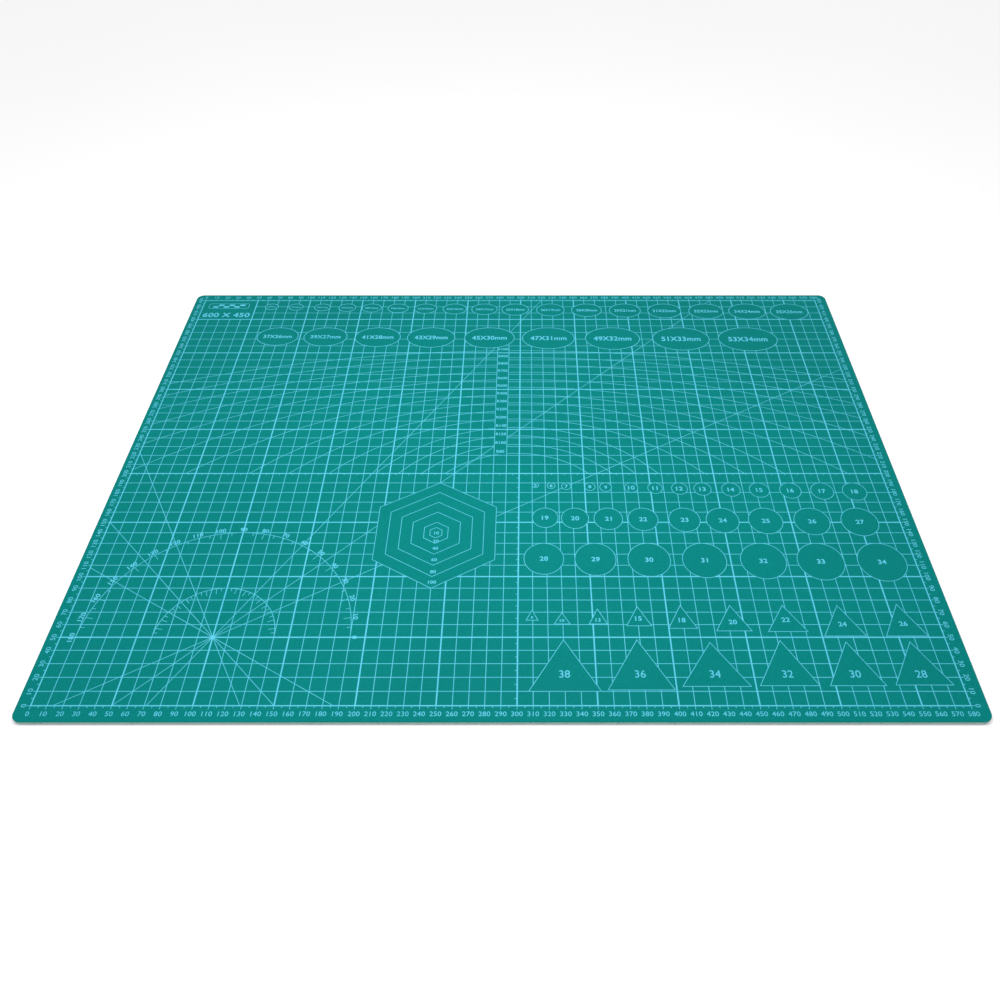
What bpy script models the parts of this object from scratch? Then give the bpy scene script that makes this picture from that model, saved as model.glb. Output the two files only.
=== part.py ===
"""Self healing cutting mat, A2 size: three PVC sheets fused into one laminate.

Units are metres and +Z is up. The origin is the centre of the underside, +X runs along
the long side, and +Y runs away from the person who cuts, who stands at the -Y side.
"""

import math

import bmesh
import bpy
from mathutils import Vector

# Driving dimensions
MAT_LENGTH = 0.600
MAT_DEPTH = 0.450
MAT_THICKNESS = 0.003
CORNER_RADIUS = 0.006
CORE_THICKNESS = 0.001
BOND_LINE = 0.00002  # height of the fused joint between two sheets
EDGE_ROUND = 0.00025  # the cutting die rolls the outer edges over by this much

# How finely the arcs are stepped
CORNER_STEPS = 12
EDGE_STEPS = 3

# Points closer than this are one point
WELD_DISTANCE = 0.000001

# Worked out from the driving dimensions
FACE_THICKNESS = (MAT_THICKNESS - CORE_THICKNESS) / 2 - BOND_LINE
FACE_MIDDLE = (MAT_THICKNESS - FACE_THICKNESS) / 2

GREEN_PVC = (0.001, 0.175, 0.166, 1.0)
DARK_GREEN_PVC = (0.001, 0.125, 0.118, 1.0)
PALE_PVC = (0.460, 0.620, 0.570, 1.0)


def clear_scene():
    for old in list(bpy.data.objects):
        bpy.data.objects.remove(old, do_unlink=True)


def plastic(name, colour, roughness):
    """A matt plastic with one colour."""
    material = bpy.data.materials.new(name)
    material.use_nodes = True
    shader = material.node_tree.nodes["Principled BSDF"]
    shader.inputs["Base Color"].default_value = colour
    shader.inputs["Roughness"].default_value = roughness
    shader.inputs["Metallic"].default_value = 0.0
    return material


def outline_points():
    """The mat's outline, anticlockwise, with a quarter circle at each corner."""
    points = []
    for quarter, (side_x, side_y) in enumerate(((1, 1), (-1, 1), (-1, -1), (1, -1))):
        centre = Vector((
            side_x * (MAT_LENGTH / 2 - CORNER_RADIUS),
            side_y * (MAT_DEPTH / 2 - CORNER_RADIUS),
        ))
        for step in range(CORNER_STEPS + 1):
            angle = math.radians(90) * (quarter + step / CORNER_STEPS)
            arm = Vector((math.cos(angle), math.sin(angle)))
            points.append(centre + CORNER_RADIUS * arm)
    return points


def outline_mesh(name, thickness):
    """The outline as a solid plate, centred on its own mid-height."""
    curve = bpy.data.curves.new(name + "_outline", "CURVE")
    curve.dimensions = "2D"
    curve.fill_mode = "BOTH"
    curve.extrude = thickness / 2
    points = outline_points()
    spline = curve.splines.new("POLY")
    spline.points.add(len(points) - 1)
    for corner, point in zip(spline.points, points):
        corner.co = (point.x, point.y, 0.0, 1.0)
    spline.use_cyclic_u = True
    guide = bpy.data.objects.new(curve.name, curve)
    bpy.context.scene.collection.objects.link(guide)
    evaluated = guide.evaluated_get(bpy.context.evaluated_depsgraph_get())
    mesh = bpy.data.meshes.new_from_object(evaluated)
    mesh.name = name
    bpy.data.objects.remove(guide, do_unlink=True)
    bpy.data.curves.remove(curve)
    return mesh


def round_rim(mesh, rim_height):
    """Weld the plate's caps to its sides, and round its rim at one height."""
    shape = bmesh.new()
    shape.from_mesh(mesh)
    bmesh.ops.remove_doubles(shape, verts=shape.verts, dist=WELD_DISTANCE)
    bmesh.ops.dissolve_limit(
        shape, angle_limit=math.radians(1), verts=shape.verts, edges=shape.edges
    )
    bmesh.ops.recalc_face_normals(shape, faces=shape.faces)
    if rim_height is not None:
        rim = [
            edge
            for edge in shape.edges
            if all(abs(corner.co.z - rim_height) < WELD_DISTANCE for corner in edge.verts)
        ]
        bmesh.ops.bevel(
            shape,
            geom=rim,
            offset=EDGE_ROUND,
            segments=EDGE_STEPS,
            profile=0.5,
            affect="EDGES",
        )
    shape.to_mesh(mesh)
    shape.free()


def sheet(name, thickness, middle_height, outer_side, material, parent, collection):
    """One sheet of the laminate. outer_side is +1, -1, or 0 for one inside the stack."""
    mesh = outline_mesh(name, thickness)
    round_rim(mesh, outer_side * thickness / 2 if outer_side else None)
    mesh.materials.append(material)
    mesh.shade_smooth()
    mesh.set_sharp_from_angle(angle=math.radians(35))
    plate = bpy.data.objects.new(name, mesh)
    plate.location.z = middle_height
    plate.parent = parent
    collection.objects.link(plate)
    return plate


def build_mat():
    collection = bpy.data.collections.new("self_healing_mat")
    bpy.context.scene.collection.children.link(collection)
    underside_centre = bpy.data.objects.new("underside_centre", None)
    collection.objects.link(underside_centre)
    middle = MAT_THICKNESS / 2
    sheet(
        "top_healing_sheet", FACE_THICKNESS, middle + FACE_MIDDLE, 1,
        plastic("top_green_pvc", GREEN_PVC, 0.62), underside_centre, collection,
    )
    sheet(
        "core_sheet", CORE_THICKNESS, middle, 0,
        plastic("white_core_pvc", PALE_PVC, 0.55), underside_centre, collection,
    )
    sheet(
        "bottom_healing_sheet", FACE_THICKNESS, middle - FACE_MIDDLE, -1,
        plastic("bottom_green_pvc", DARK_GREEN_PVC, 0.66), underside_centre, collection,
    )


clear_scene()
build_mat()
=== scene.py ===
"""Looks of the self healing mat: the PVC of its three sheets, and the print on its work surface.

The print's layout is in ruler millimetres. The point (0, 0) is the near left corner of the printed
frame, x runs to the right along the front ruler, and y runs away from the person who cuts. Each
piece of the print holds the lines or the letters of one family. They are laid out flat, united
where they cross, and raised into a closed film of ink on the top sheet.
"""

import math
from functools import lru_cache

import bmesh
import bpy
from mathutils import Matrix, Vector
from mathutils.geometry import delaunay_2d_cdt


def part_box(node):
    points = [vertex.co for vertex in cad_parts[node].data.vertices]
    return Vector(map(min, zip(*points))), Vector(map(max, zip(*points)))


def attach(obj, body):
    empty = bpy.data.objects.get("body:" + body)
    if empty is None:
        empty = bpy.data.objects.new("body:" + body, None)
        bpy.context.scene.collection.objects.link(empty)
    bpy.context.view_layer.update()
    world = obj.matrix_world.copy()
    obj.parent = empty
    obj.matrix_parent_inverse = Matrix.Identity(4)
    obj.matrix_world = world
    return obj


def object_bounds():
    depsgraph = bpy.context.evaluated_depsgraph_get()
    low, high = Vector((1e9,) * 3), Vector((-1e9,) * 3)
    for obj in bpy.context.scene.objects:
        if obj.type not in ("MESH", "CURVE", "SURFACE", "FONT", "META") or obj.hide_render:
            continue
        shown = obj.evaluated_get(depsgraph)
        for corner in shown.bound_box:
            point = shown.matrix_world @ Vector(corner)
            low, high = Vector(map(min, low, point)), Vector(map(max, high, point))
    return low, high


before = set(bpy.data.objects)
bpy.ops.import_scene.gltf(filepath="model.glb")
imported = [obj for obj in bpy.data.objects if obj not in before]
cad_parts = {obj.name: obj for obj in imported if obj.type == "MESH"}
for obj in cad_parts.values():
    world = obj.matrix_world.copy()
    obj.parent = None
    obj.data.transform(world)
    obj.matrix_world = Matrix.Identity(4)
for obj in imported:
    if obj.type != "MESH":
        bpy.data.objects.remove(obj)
CAD_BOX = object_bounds()

MM = 0.001
BODY = "root"

# The mat, from the CAD
TOP_SHEET = "top_healing_sheet"
CORE_SHEET = "core_sheet"
BOTTOM_SHEET = "bottom_healing_sheet"
MAT_LOW, MAT_HIGH = (Vector(corner) for corner in CAD_BOX)
MAT_CENTRE = (MAT_LOW + MAT_HIGH) / 2
WORK_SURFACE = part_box(TOP_SHEET)[1].z

# Where the print lies on the mat: the middle of the printed frame, off the mat's middle, in mm
PRINT_SHIFT = Vector((-0.9, 1.0))

# The printed frame and its squares, in mm
RULER_LENGTH = 580
RULER_DEPTH = 430
SQUARE = 10
BOLD_SQUARE = 50

# The ink film, in mm: its height, the step from one piece to the next, so that no two are level,
# and how far it reaches down into the sheet
INK_HEIGHT = 0.016
INK_STEP = 0.0003
INK_SOAK = 0.004

# Line widths, in mm
FINE_LINE = 0.44
BOLD_LINE = 0.93
FRAME_LINE = 0.80
TICK_LINE = 0.36
TEMPLATE_LINE = 0.40
ELLIPSE_LINE = 0.50
ANGLE_LINE = 0.38
ARC_LINE = 0.40

# Curves: the furthest that a chord may lie from its arc, in mm, and the fewest chords
CURVE_TOLERANCE = 0.012
FEWEST_STEPS = 8

# Lines: the shortest that is drawn, the sharpest turn that is mitred in full, as the cosine of half
# its angle, and the distance within which two points are one, in mm
SHORTEST_LINE = 0.3
SHARPEST_TURN = 0.2
WELD_DISTANCE = 0.0002

# The kind of result asked of delaunay_2d_cdt: whole faces that a mesh can hold, with holes left open
FACES_WITH_HOLES = 4

# Letters, at text size 1 in the built-in font: the height of a digit, the shortest edge that an
# outline keeps, and how far the strokes are thickened
DIGIT_HEIGHT = 0.70
SHORTEST_EDGE = 0.012
PLAIN_WEIGHT = 0.004
BOLD_WEIGHT = 0.022

# The widths that letters are stretched to, and how finely their curves are stepped: more finely
# where the digits are taller than LARGE_LETTER, in mm
WIDE = 1.1
EVEN = 1.0
NARROW = 0.95
LETTER_STEPS = 3
LARGE_LETTER_STEPS = 5
LARGE_LETTER = 3.5


# ---------------------------------------------------------------- shapes of the layout

class Oval:
    """A circle or an ellipse of the print. As a mask it clears the lines inside it."""

    def __init__(self, x, y, width, height):
        self.centre = Vector((x, y))
        self.radii = Vector((width / 2, height / 2))

    def points(self):
        radius = max(self.radii)
        steps = curve_steps(radius, math.tau)
        turns = (math.tau * step / steps for step in range(steps))
        return [
            self.centre + Vector((self.radii.x * math.cos(t), self.radii.y * math.sin(t)))
            for t in turns
        ]

    def covered(self, start, end):
        """The stretch of the line that lies inside, from 0 at its start to 1 at its end."""
        first = start - self.centre
        along = end - start
        first = Vector((first.x / self.radii.x, first.y / self.radii.y))
        along = Vector((along.x / self.radii.x, along.y / self.radii.y))
        square = along.dot(along)
        middle = -first.dot(along) / square
        reach = middle * middle - (first.dot(first) - 1) / square
        if reach <= 0:
            return None
        half = math.sqrt(reach)
        return clamped(middle - half, middle + half)


class Panel:
    """A convex outline of the print, with its corners anticlockwise. As a mask it clears its inside."""

    def __init__(self, corners):
        self.corners = [Vector(corner) for corner in corners]

    def points(self):
        return self.corners

    def covered(self, start, end):
        """The stretch of the line that lies inside, from 0 at its start to 1 at its end."""
        low, high = 0.0, 1.0
        for corner, following in zip(self.corners, self.corners[1:] + self.corners[:1]):
            side = following - corner
            inward = Vector((-side.y, side.x))
            depth = inward.dot(start - corner)
            change = inward.dot(end - start)
            if change == 0:
                if depth < 0:
                    return None
            elif change > 0:
                low = max(low, -depth / change)
            else:
                high = min(high, -depth / change)
        return clamped(low, high)


def clamped(low, high):
    """The part of a stretch that lies between 0 and 1, or None."""
    low, high = max(low, 0.0), min(high, 1.0)
    return (low, high) if high > low else None


def rectangle(left, bottom, right, top):
    return Panel(((left, bottom), (right, bottom), (right, top), (left, top)))


def curve_steps(radius, angle):
    """How many chords an arc takes, for an angle in radians."""
    chord = math.sqrt(8 * radius * CURVE_TOLERANCE)
    return max(FEWEST_STEPS, math.ceil(abs(angle) * radius / chord))


def arc_points(centre, radius, start, end):
    """Points along an arc, from the angle start to the angle end, in degrees."""
    start, end = math.radians(start), math.radians(end)
    steps = curve_steps(radius, end - start)
    turns = (start + (end - start) * step / steps for step in range(steps + 1))
    return [centre + polar(radius, turn) for turn in turns]


def polar(radius, turn):
    """The arm of that length at an angle in radians."""
    return Vector((radius * math.cos(turn), radius * math.sin(turn)))


def visible(start, end, masks):
    """The stretches of a line that no mask covers, as pairs of points."""
    spans = sorted(span for span in (mask.covered(start, end) for mask in masks) if span)
    stretches = []
    reached = 0.0
    for low, high in spans:
        if low > reached:
            stretches.append((reached, low))
        reached = max(reached, high)
    if reached < 1:
        stretches.append((reached, 1.0))
    return [(start.lerp(end, low), start.lerp(end, high)) for low, high in stretches]


# ---------------------------------------------------------------- ink

def mitre(before, point, after):
    """Where a line turns at a point: the arm to its left edge, for edges 1 away on each side."""
    arrive = (point - before).normalized()
    leave = (after - point).normalized()
    along = (arrive + leave).normalized()
    return Vector((-along.y, along.x)) / max(along.dot(leave), SHARPEST_TURN)


def strip(start, end, width):
    """The outline of a straight line."""
    along = end - start
    side = Vector((-along.y, along.x)).normalized() * width / 2
    return [start - side, end - side, end + side, start + side]


def signed_area(outline):
    """The area inside an outline, less than 0 where it runs clockwise."""
    return sum(corner.cross(after) for corner, after in zip(outline, outline[1:] + outline[:1])) / 2


def painted(outlines):
    """The area that the outlines paint as points and faces, so that they share one surface.

    An outline that runs clockwise is a hole in the one around it.
    """
    points = []
    rings = []
    signs = []
    for outline in outlines:
        ring = list(range(len(points), len(points) + len(outline)))
        signs.append(1 if signed_area(outline) > 0 else -1)
        rings.append(ring[::signs[-1]])
        points.extend(outline)
    points, _, faces, _, _, sources = delaunay_2d_cdt(
        points, [], rings, FACES_WITH_HOLES, WELD_DISTANCE
    )
    layers = [sum(signs[ring] for ring in source) for source in sources]
    return list(points), [face for face, count in zip(faces, layers) if count > 0]


def letter_outlines(words, steps, spacing):
    """The outlines of the words in the built-in font, at text size 1, with the ink on their left."""
    text = bpy.data.curves.new("letters", "FONT")
    text.body = words
    text.fill_mode = "NONE"
    text.resolution_u = steps
    text.space_character = spacing
    guide = bpy.data.objects.new("letters", text)
    bpy.context.scene.collection.objects.link(guide)
    wire = bpy.data.meshes.new_from_object(
        guide.evaluated_get(bpy.context.evaluated_depsgraph_get())
    )
    joined = {tuple(sorted(edge.vertices)) for edge in wire.edges}
    outlines = [[]]
    for index, corner in enumerate(wire.vertices):
        outlines[-1].append(corner.co.xy)
        if (index, index + 1) not in joined:
            outlines.append([])
    outlines.pop()
    bpy.data.objects.remove(guide, do_unlink=True)
    bpy.data.curves.remove(text)
    bpy.data.meshes.remove(wire)
    areas = [signed_area(outline) for outline in outlines]
    if max(areas, key=abs) < 0:
        outlines = [outline[::-1] for outline in outlines]
    return outlines


def thickened(outline, weight):
    """A letter's outline moved away from its ink by weight, without its shortest edges."""
    corners = [
        corner
        for before, corner in zip(outline[-1:] + outline[:-1], outline)
        if (corner - before).length > SHORTEST_EDGE
    ]
    neighbours = zip(corners[-1:] + corners[:-1], corners, corners[1:] + corners[:1])
    return [corner - weight * mitre(before, corner, after) for before, corner, after in neighbours]


@lru_cache(maxsize=None)
def letter_shape(words, weight, stretch, steps):
    """The words as flat points and faces, with digits 1 high and their middle at 0, 0."""
    outlines = letter_outlines(words, steps, 1 + 2 * weight)
    points, faces = painted([thickened(outline, weight) for outline in outlines])
    places = [Vector((point.x * stretch, point.y)) / DIGIT_HEIGHT for point in points]
    across = [place.x for place in places]
    middle = Vector(((min(across) + max(across)) / 2, 0.5))
    return [place - middle for place in places], faces


class Ink:
    """One piece of the print, in ruler millimetres until it is raised."""

    layers = 0

    def __init__(self, name):
        self.name = name
        self.outlines = []
        self.places = []
        self.faces = []

    def line(self, start, end, width, masks=()):
        """A straight line, with the stretches that the masks cover left out."""
        for first, last in visible(Vector(start), Vector(end), masks):
            if (last - first).length > SHORTEST_LINE:
                self.outlines.append(strip(first, last, width))

    def path(self, points, width, masks=(), closed=False):
        """A line through points, mitred where it turns, with what the masks cover left out."""
        count = len(points)
        ahead = points[0] if closed else 2 * points[-1] - points[-2]
        behind = points[-1] if closed else 2 * points[0] - points[1]
        neighbours = zip([behind] + points[:-1], points, points[1:] + [ahead])
        sides = [mitre(*corner) * width / 2 for corner in neighbours]
        for index in range(count if closed else count - 1):
            following = (index + 1) % count
            first, last = points[index], points[following]
            shown = visible(first, last, masks)
            if shown == [(first, last)]:
                self.outlines.append([
                    first - sides[index], last - sides[following],
                    last + sides[following], first + sides[index],
                ])
            else:
                self.outlines.extend(strip(start, end, width) for start, end in shown)

    def fill(self, points):
        self.outlines.append(points)

    def words(self, words, x, y, height, turn=0.0, weight=PLAIN_WEIGHT, stretch=WIDE):
        """Words whose middle is at x, y, with digits of that height, turned by degrees."""
        steps = LARGE_LETTER_STEPS if height > LARGE_LETTER else LETTER_STEPS
        places, faces = letter_shape(str(words), weight, stretch, steps)
        first = len(self.places)
        cos, sin = math.cos(math.radians(turn)), math.sin(math.radians(turn))
        for place in places:
            across = Vector((cos * place.x - sin * place.y, sin * place.x + cos * place.y))
            self.places.append(Vector((x, y)) + height * across)
        self.faces.extend([first + corner for corner in face] for face in faces)

    def raised(self, material):
        """Makes the piece: a closed film with a top, an underside in the sheet, and edges."""
        points, faces = painted(self.outlines) if self.outlines else ([], [])
        first = len(points)
        points += self.places
        faces += [[first + corner for corner in face] for face in self.faces]
        top = WORK_SURFACE + (INK_HEIGHT + INK_STEP * Ink.layers) * MM
        base = WORK_SURFACE - INK_SOAK * MM
        Ink.layers += 1
        shape = bmesh.new()
        spots = [on_mat(point) for point in points]
        high = [shape.verts.new((spot.x, spot.y, top)) for spot in spots]
        low = [shape.verts.new((spot.x, spot.y, base)) for spot in spots]
        rims = set()
        for face in faces:
            shape.faces.new([high[corner] for corner in face])
            shape.faces.new([low[corner] for corner in reversed(face)])
            rims.update(zip(face, face[1:] + face[:1]))
        for start, end in sorted(rims):
            if (end, start) not in rims:
                shape.faces.new((high[start], low[start], low[end], high[end]))
        loose = [corner for corner in shape.verts if not corner.link_faces]
        bmesh.ops.delete(shape, geom=loose, context="VERTS")
        mesh = bpy.data.meshes.new(self.name)
        shape.to_mesh(mesh)
        shape.free()
        mesh.materials.append(material)
        piece = bpy.data.objects.new(self.name, mesh)
        bpy.context.scene.collection.objects.link(piece)
        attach(piece, BODY)
        return piece


def on_mat(point):
    """A point of the layout, in metres in the mat's frame."""
    middle = Vector((RULER_LENGTH / 2, RULER_DEPTH / 2))
    return MAT_CENTRE.xy + (Vector(point) - middle + PRINT_SHIFT) * MM


# ---------------------------------------------------------------- layout of the print

# Circles: each row's top, the diameter of its first circle, and the middle of each circle. The
# diameters grow by 1 from one circle to the next, and each circle is marked with its own.
CIRCLE_ROWS = (
    (190, 5, (
        312.5, 324.5, 336, 354, 366, 385.5, 403.5, 422, 439.5, 461, 482.5, 506, 530, 554.5,
    )),
    (164, 19, (319.5, 341.5, 366, 391.5, 422, 450, 481.5, 515.5, 550.5)),
    (130, 28, (318, 354.5, 392.5, 431.5, 473, 513.5, 556.5)),
)

# Heights of the circles' numbers, with one digit and with two
CIRCLE_NUMBER_HEIGHTS = (3.0, 3.8)

# Triangles: number, x of the tip, y of the tip, y of the base, width of the base, y of the number
SMALL_TRIANGLES = (
    (8, 309.5, 71.5, 63.5, 8, 65.8),
    (10, 329.5, 69.5, 60.5, 10.5, 63.3),
    (13, 353.5, 72.5, 60.5, 12, 63.7),
    (15, 380.5, 74.5, 59, 16.5, 64.9),
    (18, 409.5, 75.5, 57, 19, 63.6),
    (20, 443, 75.5, 55, 23.4, 62.1),
    (22, 478.5, 75.5, 54.5, 26, 63.9),
    (24, 515.5, 75.5, 51, 27.5, 60.4),
    (26, 556, 76.5, 51, 27.5, 60.8),
)
LARGE_TRIANGLES = (
    (38, 330, 48, 10, 45.5, 22.5),
    (36, 378, 48, 11, 42, 22.5),
    (34, 425.5, 46, 13.5, 43, 22.5),
    (32, 471.5, 47.5, 14, 37.5, 22.5),
    (30, 514.4, 46.5, 14, 35.4, 22.5),
    (28, 556.2, 46.5, 14.5, 36.4, 22.5),
)

# The tallest numbers of the triangles, and how many times a number's height the base measures
SMALL_TRIANGLE_NUMBER = 3.5
LARGE_TRIANGLE_NUMBER = 5.3
BASE_TO_NUMBER = 4.5

# Ellipses: top, width and height of the first, growth of each from one to the next, and middles
LARGE_ELLIPSES = (387, (37, 26), (2, 1), (79.5, 123, 170.5, 219, 272, 325.5, 383.5, 445.5, 506))
SMALL_ELLIPSES = (424.5, (12, 9), (1.44, 1), (
    65, 88, 113, 136.5, 159.5, 184.5, 210.5, 238, 266, 295, 328, 362, 398, 435, 474, 512.5, 552,
))

# An ellipse's label: its share of the ellipse's width, and the longest one
ELLIPSE_LABEL_SHARE = 0.70
LONGEST_ELLIPSE_LABEL = 35.4

# Hexagons: middle, distance from it to each one's corners, and the y of each one's number
HEXAGON_CENTRE = Vector((240, 140))
HEXAGONS = ((5, 139.8), (10, 132), (20, 125.4), (30, 115), (40, 104.3), (50, 95.2))
HEXAGON_NUMBER_X = 240.5
HEXAGON_NUMBER_HEIGHT = 2.6

# Protractor: middle, and radius with the lengths of its ticks at each 10 and 5 degrees
PROTRACTOR_CENTRE = Vector((100, 50))
PROTRACTOR_ARCS = ((90, 5, 2.8), (40, 4.5, 2.5))
PROTRACTOR_NUMBER_RADIUS = 93
ANGLE_LINES = (30, 45, 60, 120, 135, 150)

# Radius arcs: radii, from the lowest arc up. Their tops are RADIUS_STEP apart on one upright, and
# their ends are on the line at RADIUS_BASE or on the frame. Each number stands over its arc's top,
# in a column that other lines leave clear.
RADII = (80, 100, 120, 140, 200, 250, 300, 400, 500, 600, 700, 800, 900, 1000)
RADIUS_X = 298.2
RADIUS_FIRST_TOP = 222.3
RADIUS_STEP = 10.06
RADIUS_BASE = 200
RADIUS_NUMBER_X = 285
RADIUS_NUMBER_RISE = 2.2
RADIUS_NUMBER_HEIGHT = 2.9
NUMBER_COLUMN = rectangle(280, 221, 290, 359)

# The corner panel: a cleared corner, a rounded box with a plain scale bar in it, and the mat's size
CORNER_PANEL = rectangle(0, 400.5, 49, RULER_DEPTH)
PANEL_LEFT = 5.7
PANEL_RIGHT = 43.4
PANEL_BOTTOM = 417.2
PANEL_TOP = 424.9
PANEL_CORNER = 2.0
CHECK_WIDTH = 5
CHECK_HEIGHT = 2.4
CHECK_PAIRS = 3
CHECKS_LEFT = 9.6
CHECK_ROWS = (418.5, 421.2)
SIZE_WORDS = "600 X 450"
SIZE_PLACE = (25.0, 407.0)
SIZE_HEIGHT = 6.3


def circles():
    found = []
    for top, first, middles in CIRCLE_ROWS:
        for index, middle in enumerate(middles):
            size = first + index
            found.append((size, Oval(middle, top - size / 2, size, size)))
    return found


def ellipses(row):
    top, first, growth, middles = row
    found = []
    for index, middle in enumerate(middles):
        width = round(first[0] + growth[0] * index)
        height = first[1] + growth[1] * index
        found.append((width, height, Oval(middle, top - height / 2, width, height)))
    return found


def triangle(x, tip, base, width):
    return Panel(((x - width / 2, base), (x + width / 2, base), (x, tip)))


def hexagon(radius):
    return Panel([
        HEXAGON_CENTRE + polar(radius, math.radians(angle)) for angle in range(30, 390, 60)
    ])


MASKS = [oval for _, oval in circles()]
MASKS += [oval for row in (LARGE_ELLIPSES, SMALL_ELLIPSES) for _, _, oval in ellipses(row)]
MASKS += [triangle(*sizes[1:5]) for sizes in SMALL_TRIANGLES + LARGE_TRIANGLES]
MASKS += [hexagon(HEXAGONS[-1][0]), CORNER_PANEL]
MASKS_WITH_COLUMN = MASKS + [NUMBER_COLUMN]


def grid(ink):
    """The 10 mm lines. The fine ones across leave the radius numbers clear."""
    fine = Ink("ink_grid_fine")
    for x in range(SQUARE, RULER_LENGTH, SQUARE):
        if x % BOLD_SQUARE:
            fine.line((x, 0), (x, RULER_DEPTH), FINE_LINE, MASKS)
    for y in range(SQUARE, RULER_DEPTH, SQUARE):
        if y % BOLD_SQUARE:
            fine.line((0, y), (RULER_LENGTH, y), FINE_LINE, MASKS_WITH_COLUMN)
    fine.raised(ink)

    bold = Ink("ink_grid_bold")
    for x in range(BOLD_SQUARE, RULER_LENGTH, BOLD_SQUARE):
        bold.line((x, 0), (x, RULER_DEPTH), BOLD_LINE, MASKS)
    for y in range(BOLD_SQUARE, RULER_DEPTH, BOLD_SQUARE):
        bold.line((0, y), (RULER_LENGTH, y), BOLD_LINE, MASKS)
    corners = rectangle(0, 0, RULER_LENGTH, RULER_DEPTH).points()
    bold.path(corners, FRAME_LINE, closed=True)
    bold.raised(ink)


# Rulers: how far the ticks reach out of the frame, at each 10 and 5 mm, and the numbers' places
FRONT_TICKS = (2.5, 1.6)
SIDE_TICKS = (2.5, 1.7)
INNER_TICK = 1.7
FRONT_NUMBER_Y = -5.5
FAR_NUMBER_Y = 434.9
LEFT_NUMBER_X = -4.45
RIGHT_NUMBER_X = 584.4
NUMBER_HEIGHT = 3.2

# The grid lines that have inner ticks at each 5 mm, below and to the left of them
INNER_RULER_X = 300
INNER_RULER_Y = 200


def rulers(ink):
    ticks = Ink("ink_ruler_ticks")
    for x in range(0, RULER_LENGTH + 1, SQUARE // 2):
        reach = FRONT_TICKS[x % SQUARE > 0]
        ticks.line((x, 0), (x, -reach), TICK_LINE)
        ticks.line((x, RULER_DEPTH), (x, RULER_DEPTH + reach), TICK_LINE)
    for y in range(0, RULER_DEPTH + 1, SQUARE // 2):
        reach = SIDE_TICKS[y % SQUARE > 0]
        ticks.line((0, y), (-reach, y), TICK_LINE)
        ticks.line((RULER_LENGTH, y), (RULER_LENGTH + reach, y), TICK_LINE)
    for y in range(SQUARE // 2, INNER_RULER_Y, SQUARE):
        ticks.line((INNER_RULER_X, y), (INNER_RULER_X - INNER_TICK, y), TICK_LINE, MASKS)
    for x in range(SQUARE // 2, RULER_LENGTH, SQUARE):
        ticks.line((x, INNER_RULER_Y), (x, INNER_RULER_Y - INNER_TICK), TICK_LINE, MASKS)
    ticks.raised(ink)

    numbers = Ink("ink_ruler_numbers")
    for x in range(0, RULER_LENGTH + 1, SQUARE):
        numbers.words(x, x, FRONT_NUMBER_Y, NUMBER_HEIGHT)
        numbers.words(x, x, FAR_NUMBER_Y, NUMBER_HEIGHT)
    for y in range(0, RULER_DEPTH + 1, SQUARE):
        numbers.words(y, LEFT_NUMBER_X, y, NUMBER_HEIGHT, turn=90)
        numbers.words(y, RIGHT_NUMBER_X, y, NUMBER_HEIGHT, turn=-90)
    numbers.raised(ink)


def protractor(ink):
    lines = Ink("ink_protractor")
    numbers = Ink("ink_protractor_numbers")
    for radius, long_tick, short_tick in PROTRACTOR_ARCS:
        lines.path(arc_points(PROTRACTOR_CENTRE, radius, 0, 180), TEMPLATE_LINE, MASKS)
        for angle in range(0, 181, 5):
            turn = math.radians(angle)
            inner = radius - (short_tick if angle % 10 else long_tick)
            lines.line(
                PROTRACTOR_CENTRE + polar(inner, turn),
                PROTRACTOR_CENTRE + polar(radius, turn), TICK_LINE, MASKS,
            )
    for angle in range(0, 181, 10):
        spot = PROTRACTOR_CENTRE + polar(PROTRACTOR_NUMBER_RADIUS, math.radians(angle))
        numbers.words(angle, spot.x, spot.y, NUMBER_HEIGHT, angle - 90, BOLD_WEIGHT)
    lines.raised(ink)
    numbers.raised(ink)


def angle_lines(ink):
    """Lines at common angles through the protractor's middle, as far as the frame."""
    lines = Ink("ink_angle_lines")
    inside = rectangle(0, 0, RULER_LENGTH, RULER_DEPTH)
    for angle in ANGLE_LINES:
        arm = polar(RULER_LENGTH + RULER_DEPTH, math.radians(angle))
        start, end = PROTRACTOR_CENTRE - arm, PROTRACTOR_CENTRE + arm
        low, high = inside.covered(start, end)
        lines.line(start.lerp(end, low), start.lerp(end, high), ANGLE_LINE, MASKS_WITH_COLUMN)
    lines.raised(ink)


def hexagons(ink):
    lines = Ink("ink_hexagons")
    numbers = Ink("ink_hexagon_numbers")
    for radius, y in HEXAGONS:
        lines.path(hexagon(radius).points(), TEMPLATE_LINE, closed=True)
        numbers.words(2 * radius, HEXAGON_NUMBER_X, y, HEXAGON_NUMBER_HEIGHT, weight=BOLD_WEIGHT)
    lines.raised(ink)
    numbers.raised(ink)


def circle_templates(ink):
    lines = Ink("ink_circles")
    numbers = Ink("ink_circle_numbers")
    for size, oval in circles():
        lines.path(oval.points(), TEMPLATE_LINE, closed=True)
        height = CIRCLE_NUMBER_HEIGHTS[size >= 10]
        numbers.words(size, *oval.centre, height, weight=BOLD_WEIGHT)
    lines.raised(ink)
    numbers.raised(ink)


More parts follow.
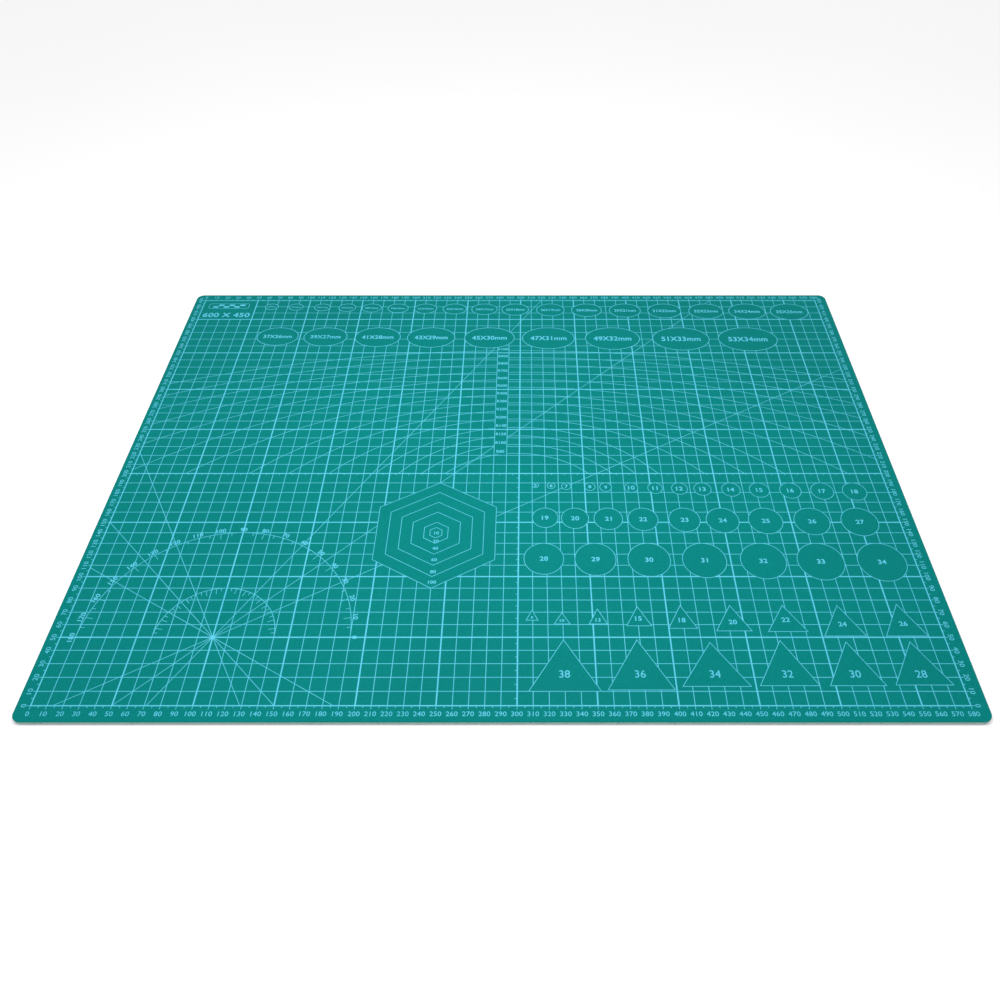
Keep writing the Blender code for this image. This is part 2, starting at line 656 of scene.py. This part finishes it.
def triangle_templates(ink):
    lines = Ink("ink_triangles")
    numbers = Ink("ink_triangle_numbers")
    for row, tallest, weight, stretch in (
        (SMALL_TRIANGLES, SMALL_TRIANGLE_NUMBER, BOLD_WEIGHT, WIDE),
        (LARGE_TRIANGLES, LARGE_TRIANGLE_NUMBER, PLAIN_WEIGHT, EVEN),
    ):
        for number, x, tip, base, width, y in row:
            lines.path(triangle(x, tip, base, width).points(), TEMPLATE_LINE, closed=True)
            height = min(tallest, width / BASE_TO_NUMBER)
            numbers.words(number, x, y, height, weight=weight, stretch=stretch)
    lines.raised(ink)
    numbers.raised(ink)


def ellipse_templates(name, row, ink):
    """One row of ellipses, each with its size in it."""
    lines = Ink(f"ink_{name}_ellipses")
    sizes = Ink(f"ink_{name}_ellipse_sizes")
    for width, height, oval in ellipses(row):
        lines.path(oval.points(), ELLIPSE_LINE, closed=True)
        label = f"{width}X{height}mm"
        places, _ = letter_shape(label, BOLD_WEIGHT, NARROW, LETTER_STEPS)
        length = 2 * max(place.x for place in places)
        label_height = min(ELLIPSE_LABEL_SHARE * width, LONGEST_ELLIPSE_LABEL) / length
        sizes.words(label, *oval.centre, label_height, weight=BOLD_WEIGHT, stretch=NARROW)
    lines.raised(ink)
    sizes.raised(ink)


def radius_arcs(ink):
    lines = Ink("ink_radius_arcs")
    numbers = Ink("ink_radius_numbers")
    for index, radius in enumerate(RADII):
        top = RADIUS_FIRST_TOP + RADIUS_STEP * index
        centre = Vector((RADIUS_X, top - radius))
        drop = math.degrees(math.acos((RADIUS_BASE - centre.y) / radius))
        left = math.degrees(math.asin(min(1, RADIUS_X / radius)))
        right = math.degrees(math.asin(min(1, (RULER_LENGTH - RADIUS_X) / radius)))
        points = arc_points(centre, radius, 90 - min(drop, right), 90 + min(drop, left))
        lines.path(points, ARC_LINE, MASKS_WITH_COLUMN)
        y = top + RADIUS_NUMBER_RISE
        numbers.words(
            f"R{radius}", RADIUS_NUMBER_X, y, RADIUS_NUMBER_HEIGHT,
            weight=BOLD_WEIGHT, stretch=NARROW,
        )
    lines.raised(ink)
    numbers.raised(ink)


def corner_panel(ink):
    """A rounded box with a plain scale bar in it, and the mat's size in millimetres."""
    panel = Ink("ink_corner_panel")
    left, right = PANEL_LEFT + PANEL_CORNER, PANEL_RIGHT - PANEL_CORNER
    bottom, top = PANEL_BOTTOM + PANEL_CORNER, PANEL_TOP - PANEL_CORNER
    outline = []
    for x, y, start in ((right, top, 0), (left, top, 90), (left, bottom, 180), (right, bottom, 270)):
        outline += arc_points(Vector((x, y)), PANEL_CORNER, start, start + 90)
    panel.path(outline, TEMPLATE_LINE, closed=True)
    for pair in range(CHECK_PAIRS):
        for row, y in enumerate(CHECK_ROWS):
            x = CHECKS_LEFT + CHECK_WIDTH * (2 * pair + row)
            panel.fill(rectangle(x, y, x + CHECK_WIDTH, y + CHECK_HEIGHT).points())
    panel.raised(ink)
    size = Ink("ink_corner_size")
    size.words(SIZE_WORDS, *SIZE_PLACE, SIZE_HEIGHT, weight=BOLD_WEIGHT)
    size.raised(ink)


# ---------------------------------------------------------------- materials

class Nodes:
    """A material under construction: its shader, and short ways to add and join nodes."""

    def __init__(self, name):
        self.material = bpy.data.materials.new(name)
        self.material.use_nodes = True
        self.tree = self.material.node_tree
        self.shader = self.tree.nodes["Principled BSDF"]
        self.place = self.add("ShaderNodeTexCoord").outputs["Object"]

    def add(self, kind, **values):
        node = self.tree.nodes.new(kind)
        for name, value in values.items():
            setattr(node, name, value)
        return node

    def join(self, output, target):
        self.tree.links.new(output, target)

    def noise(self, scale, detail=2.0, roughness=0.5, stretch=None):
        """Noise over the object's own metres. stretch multiplies each direction's detail."""
        node = self.add("ShaderNodeTexNoise")
        node.inputs["Scale"].default_value = scale
        node.inputs["Detail"].default_value = detail
        node.inputs["Roughness"].default_value = roughness
        self.join(self.stretched(stretch) if stretch else self.place, node.inputs["Vector"])
        return node.outputs["Fac"]

    def stretched(self, stretch):
        node = self.add("ShaderNodeMapping")
        node.inputs["Scale"].default_value = stretch
        self.join(self.place, node.inputs["Vector"])
        return node.outputs["Vector"]

    def pebbles(self, size):
        """Rounded cells of about that size, as the embossing roller leaves."""
        node = self.add("ShaderNodeTexVoronoi", feature="SMOOTH_F1")
        node.inputs["Scale"].default_value = 1 / size
        node.inputs["Smoothness"].default_value = 0.8
        self.join(self.place, node.inputs["Vector"])
        return node.outputs["Distance"]

    def ramp(self, value, *stops):
        """Colours or levels along a value, as (position, colour) pairs."""
        node = self.add("ShaderNodeValToRGB")
        elements = node.color_ramp.elements
        while len(elements) < len(stops):
            elements.new(1.0)
        for element, (position, colour) in zip(elements, stops):
            element.position = position
            element.color = (*colour, 1.0) if isinstance(colour, tuple) else (colour,) * 3 + (1.0,)
        self.join(value, node.inputs["Fac"])
        return node.outputs["Color"]

    def mix(self, factor, first, second, blend="MIX"):
        node = self.add("ShaderNodeMix", data_type="RGBA", blend_type=blend)
        colours = [socket for socket in node.inputs if socket.type == "RGBA"]
        for source, socket in zip((factor, first, second), (node.inputs["Factor"], *colours)):
            if isinstance(source, (int, float)):
                socket.default_value = source
            elif isinstance(source, tuple):
                socket.default_value = (*source, 1.0)
            else:
                self.join(source, socket)
        return next(socket for socket in node.outputs if socket.type == "RGBA")

    def levels(self, value, low, high):
        """A value from 0 to 1 spread between two numbers."""
        node = self.add("ShaderNodeMapRange")
        node.inputs["To Min"].default_value = low
        node.inputs["To Max"].default_value = high
        self.join(value, node.inputs["Value"])
        return node.outputs["Result"]

    def upright(self):
        """0 on level faces and 1 on the mat's cut edge, which takes the painted shade of the upright
        sides.
        """
        normal = self.add("ShaderNodeNewGeometry").outputs["Normal"]
        parts = self.add("ShaderNodeSeparateXYZ")
        self.join(normal, parts.inputs["Vector"])
        level = self.add("ShaderNodeMath", operation="ABSOLUTE")
        self.join(parts.outputs["Z"], level.inputs[0])
        return self.ramp(level.outputs["Value"], (0.3, 1.0), (0.8, 0.0))

    def bump(self, height, strength, depth, under=None):
        node = self.add("ShaderNodeBump")
        node.inputs["Strength"].default_value = strength
        node.inputs["Distance"].default_value = depth
        self.join(height, node.inputs["Height"])
        if under is not None:
            self.join(under, node.inputs["Normal"])
        return node.outputs["Normal"]

    def finish(self, colour, roughness, normal, gloss):
        self.join(colour, self.shader.inputs["Base Color"])
        self.join(roughness, self.shader.inputs["Roughness"])
        self.join(normal, self.shader.inputs["Normal"])
        self.shader.inputs["Specular IOR Level"].default_value = gloss
        return self.material


# The embossing, in metres
PEBBLE = 0.00055
EMBOSS_DEPTH = 0.00003

# How strongly each material mirrors light at its surface
PVC_GLOSS = 0.03
CORE_GLOSS = 0.3
INK_GLOSS = 0.1
FLOOR_GLOSS = 0.1

# Colours of each green face: its dark, middle and light clouds, and its cut edge, which is painted
# shade, darker than the face as the upright side is shaded
WORK_FACE_GREENS = (
    (0.0008, 0.167, 0.158), (0.0008, 0.175, 0.166), (0.0008, 0.184, 0.174), (0.002, 0.10, 0.09),
)
UNDERSIDE_GREENS = (
    (0.0008, 0.115, 0.108), (0.0008, 0.125, 0.118), (0.0008, 0.135, 0.128), (0.002, 0.040, 0.036),
)


def face_pvc(name, dark, middle, light, cut):
    """Soft green PVC: embossed with fine pebbles, with painted shade between them, faintly cloudy, with
    a die-cut edge painted darker as shade.
    """
    nodes = Nodes(name)
    clouds = nodes.ramp(nodes.noise(7.0, 3.0), (0.3, dark), (0.5, middle), (0.72, light))
    pebbles = nodes.pebbles(PEBBLE)
    speckle = nodes.ramp(nodes.noise(1100.0, 2.0), (0.35, 0.93), (0.65, 1.05))
    # Painted shade: darker in the hollows between the pebbles, a little lighter on their middles
    painted_pebble_shade = nodes.ramp(pebbles, (0.2, 1.04), (0.65, 0.88))
    face = nodes.mix(1.0, nodes.mix(1.0, clouds, speckle, "MULTIPLY"), painted_pebble_shade, "MULTIPLY")
    strokes = nodes.noise(1.0, 2.0, 0.6, (2600.0, 2600.0, 160.0))
    # The cut edge: striations from the cut colour, which is painted shade, to the dark cloud colour
    edge = nodes.mix(nodes.levels(strokes, 0.0, 0.5), cut, dark)
    colour = nodes.mix(nodes.upright(), face, edge)
    roughness = nodes.levels(nodes.noise(60.0, 4.0), 0.58, 0.74)
    fine = nodes.bump(nodes.noise(5200.0, 2.0), 0.25, EMBOSS_DEPTH)
    normal = nodes.bump(pebbles, 0.45, EMBOSS_DEPTH, fine)
    return nodes.finish(colour, roughness, normal, PVC_GLOSS)


def core_pvc():
    """Pale hard PVC. It shows only as a cut edge. There its colour is painted shade, darker and greener
    than the pale PVC, and patches of dark green lie over it.
    """
    nodes = Nodes("core_cut_edge")
    strokes = nodes.noise(1.0, 3.0, 0.6, (1800.0, 1800.0, 240.0))
    # Painted shade: the pale PVC darkened and greened on its upright cut edge
    pale = nodes.ramp(strokes, (0.3, (0.38, 0.54, 0.49)), (0.7, (0.54, 0.70, 0.65)))
    dark_green_patches = nodes.ramp(nodes.noise(1.0, 3.0, 0.7, (420.0, 420.0, 900.0)), (0.55, 0.0), (0.72, 0.55))
    colour = nodes.mix(dark_green_patches, pale, (0.03, 0.20, 0.18))
    roughness = nodes.levels(strokes, 0.42, 0.62)
    normal = nodes.bump(strokes, 0.4, EMBOSS_DEPTH)
    return nodes.finish(colour, roughness, normal, CORE_GLOSS)


def printing_ink():
    """Sky-blue screen ink: a thin film that follows the pebbles, with a little green showing."""
    nodes = Nodes("sky_blue_ink")
    body = nodes.ramp(
        nodes.noise(38.0, 3.0), (0.3, (0.066, 0.42, 0.58)), (0.7, (0.092, 0.48, 0.64))
    )
    holes = nodes.ramp(nodes.noise(4200.0, 2.0), (0.60, 0.0), (0.74, 0.6))
    colour = nodes.mix(holes, body, (0.01, 0.33, 0.34))
    roughness = nodes.levels(nodes.noise(300.0, 2.0), 0.42, 0.6)
    normal = nodes.bump(nodes.pebbles(PEBBLE), 0.35, EMBOSS_DEPTH)
    return nodes.finish(colour, roughness, normal, INK_GLOSS)


def dress(node, material):
    """Gives a CAD node its material."""
    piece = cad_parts[node]
    for slot in piece.material_slots:
        slot.material = material


dress(TOP_SHEET, face_pvc("green_pvc_work_face", *WORK_FACE_GREENS))
dress(BOTTOM_SHEET, face_pvc("green_pvc_underside", *UNDERSIDE_GREENS))
dress(CORE_SHEET, core_pvc())

INK = printing_ink()
grid(INK)
rulers(INK)
protractor(INK)
angle_lines(INK)
hexagons(INK)
circle_templates(INK)
triangle_templates(INK)
ellipse_templates("large", LARGE_ELLIPSES, INK)
ellipse_templates("small", SMALL_ELLIPSES, INK)
radius_arcs(INK)
corner_panel(INK)


# ---------------------------------------------------------------- camera, floor and light

# Lens and sensor in mm, the tilt up from straight down in degrees, the shift in image widths
LENS = 31.17
SENSOR = 36.0
CAMERA_PLACE = Vector((0.0155, -0.4816, 0.4823))
CAMERA_TILT = 42.54
CAMERA_SHIFT = -0.0274

FLOOR_SIZE = 8.0
SKY_STRENGTH = 0.95
KEY_LIGHT_PLACE = Vector((-0.03, -0.02, 0.52))
KEY_LIGHT_SIZE = 0.25
KEY_LIGHT_POWER = 1.95


def camera():
    data = bpy.data.cameras.new("camera")
    data.lens = LENS
    data.sensor_width = SENSOR
    data.shift_x = CAMERA_SHIFT
    data.clip_start = 0.01
    eye = bpy.data.objects.new("camera", data)
    eye.location = CAMERA_PLACE
    eye.rotation_euler = (math.radians(CAMERA_TILT), 0.0, 0.0)
    bpy.context.scene.collection.objects.link(eye)
    bpy.context.scene.camera = eye


def floor():
    shape = bmesh.new()
    bmesh.ops.create_grid(shape, x_segments=8, y_segments=8, size=FLOOR_SIZE / 2)
    mesh = bpy.data.meshes.new("floor")
    shape.to_mesh(mesh)
    shape.free()
    ground = bpy.data.objects.new("floor", mesh)
    ground.location.z = MAT_LOW.z
    nodes = Nodes("floor_paint")
    colour = nodes.ramp(nodes.noise(3.0, 2.0), (0.3, 0.955), (0.7, 0.965))
    roughness = nodes.levels(nodes.noise(9.0, 2.0), 0.85, 0.95)
    normal = nodes.bump(nodes.noise(240.0, 2.0), 0.05, 0.0001)
    mesh.materials.append(nodes.finish(colour, roughness, normal, FLOOR_GLOSS))
    bpy.context.scene.collection.objects.link(ground)


def key_light():
    """A square softbox over the mat, which faces straight down."""
    data = bpy.data.lights.new("key_light", "AREA")
    data.shape = "SQUARE"
    data.size = KEY_LIGHT_SIZE
    data.energy = KEY_LIGHT_POWER
    lamp = bpy.data.objects.new("key_light", data)
    lamp.location = KEY_LIGHT_PLACE
    bpy.context.scene.collection.objects.link(lamp)


def studio():
    """Even white light from all round, with the key light over the mat."""
    world = bpy.data.worlds.new("studio")
    world.use_nodes = True
    sky = world.node_tree.nodes["Background"]
    sky.inputs["Color"].default_value = (1.0, 1.0, 1.0, 1.0)
    sky.inputs["Strength"].default_value = SKY_STRENGTH
    bpy.context.scene.world = world
    bpy.context.scene.view_settings.view_transform = "Standard"
    key_light()


camera()
floor()
studio()
